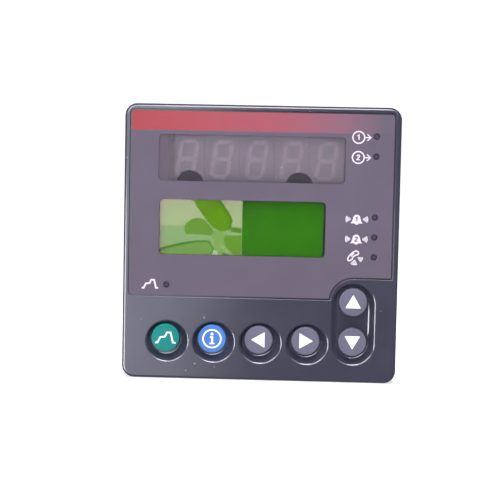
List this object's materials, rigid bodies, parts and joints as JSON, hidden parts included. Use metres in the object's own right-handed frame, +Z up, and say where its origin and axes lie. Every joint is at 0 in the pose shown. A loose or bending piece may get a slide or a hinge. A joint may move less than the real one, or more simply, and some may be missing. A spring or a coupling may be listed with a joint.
{
  "type": "panel-mount temperature controller",
  "caption": "Square panel-mount temperature controller with a numeric display, a green text display and round push keys in dished wells.",
  "frame": {"origin": "centre of the panel's front face, on the back of the bezel's gasket", "axes": "+Z up, +X to the right as the front is read, the front faces -Y"},
  "size_m": [0.0998, 0.1139, 0.0998],
  "materials": {
    "front_plastic": "fine moulded texture, satin",
    "facia_film": "printed polyester film, satin",
    "tinted_window": "tinted acrylic, gloss",
    "clear_window": "clear acrylic, gloss",
    "digit_plastic": "moulded, matt",
    "light_bars": "diffusing resin",
    "black_plastic": "moulded, matt",
    "lcd_cell": "polariser over green liquid crystal",
    "painted_steel": "black-painted pressed sheet",
    "light_guide": "moulded acrylic",
    "board": "solder-masked glass-fibre board",
    "plated_pins": "tin plated",
    "green_key": "moulded, satin",
    "blue_key": "moulded, satin",
    "grey_key": "moulded, satin",
    "lamp_plastic": "tinted epoxy",
    "gasket_rubber": "foamed rubber, matt",
    "case_plastic": "fine moulded texture",
    "chip_plastic": "moulded epoxy",
    "cell_steel": "nickel plated",
    "core_iron": "varnished laminations",
    "winding_tape": "polyester tape",
    "capacitor_sleeve": "shrink sleeve",
    "relay_plastic": "moulded cover",
    "connector_plastic": "moulded nylon",
    "terminal_plastic": "moulded polyamide",
    "screw_steel": "zinc plated"
  },
  "bodies": {
    "housing": {"bezel": "front_plastic", "front_overlay": "facia_film", "led_window": "tinted_window", "lcd_window": "clear_window", "led_digits": "digit_plastic", "led_segments": "light_bars", "display_holder": "black_plastic", "lcd_glass": "lcd_cell", "lcd_frame": "painted_steel", "lcd_backlight": "light_guide", "lcd_board": "board", "lcd_pins": "plated_pins", "indicator_lamps": "lamp_plastic", "panel_gasket": "gasket_rubber", "display_board": "board", "key_switches": "black_plastic", "case": "case_plastic", "rear_cover": "case_plastic", "control_board": "board", "power_board": "board", "output_board": "board", "processor": "chip_plastic", "memory_chips": "chip_plastic", "clock_cell": "cell_steel", "cell_holder": "plated_pins", "transformer_core": "core_iron", "transformer_winding": "winding_tape", "capacitors": "capacitor_sleeve", "relays": "relay_plastic", "link_plugs": "connector_plastic", "terminal_sockets": "terminal_plastic", "terminal_plugs": "terminal_plastic", "terminal_screws": "screw_steel", "cover_screws": "screw_steel", "board_screws": "screw_steel"},
    "program_key": {"key_program": "green_key", "plunger_program": "black_plastic"},
    "info_key": {"key_info": "blue_key", "plunger_info": "black_plastic"},
    "left_key": {"key_left": "grey_key", "plunger_left": "black_plastic"},
    "right_key": {"key_right": "grey_key", "plunger_right": "black_plastic"},
    "up_key": {"key_up": "grey_key", "plunger_up": "black_plastic"},
    "down_key": {"key_down": "grey_key", "plunger_down": "black_plastic"}
  },
  "joints": [
    {"name": "program_press", "type": "slide", "parent": "housing", "child": "program_key", "axis": [0, 1, 0], "range_m": [0, 0.0008], "stiffness_N_per_m": 700, "springref_m": -0.0004},
    {"name": "info_press", "type": "slide", "parent": "housing", "child": "info_key", "axis": [0, 1, 0], "range_m": [0, 0.0008], "stiffness_N_per_m": 700, "springref_m": -0.0004},
    {"name": "left_press", "type": "slide", "parent": "housing", "child": "left_key", "axis": [0, 1, 0], "range_m": [0, 0.0008], "stiffness_N_per_m": 700, "springref_m": -0.0004},
    {"name": "right_press", "type": "slide", "parent": "housing", "child": "right_key", "axis": [0, 1, 0], "range_m": [0, 0.0008], "stiffness_N_per_m": 700, "springref_m": -0.0004},
    {"name": "up_press", "type": "slide", "parent": "housing", "child": "up_key", "axis": [0, 1, 0], "range_m": [0, 0.0008], "stiffness_N_per_m": 700, "springref_m": -0.0004},
    {"name": "down_press", "type": "slide", "parent": "housing", "child": "down_key", "axis": [0, 1, 0], "range_m": [0, 0.0008], "stiffness_N_per_m": 700, "springref_m": -0.0004}
  ]
}
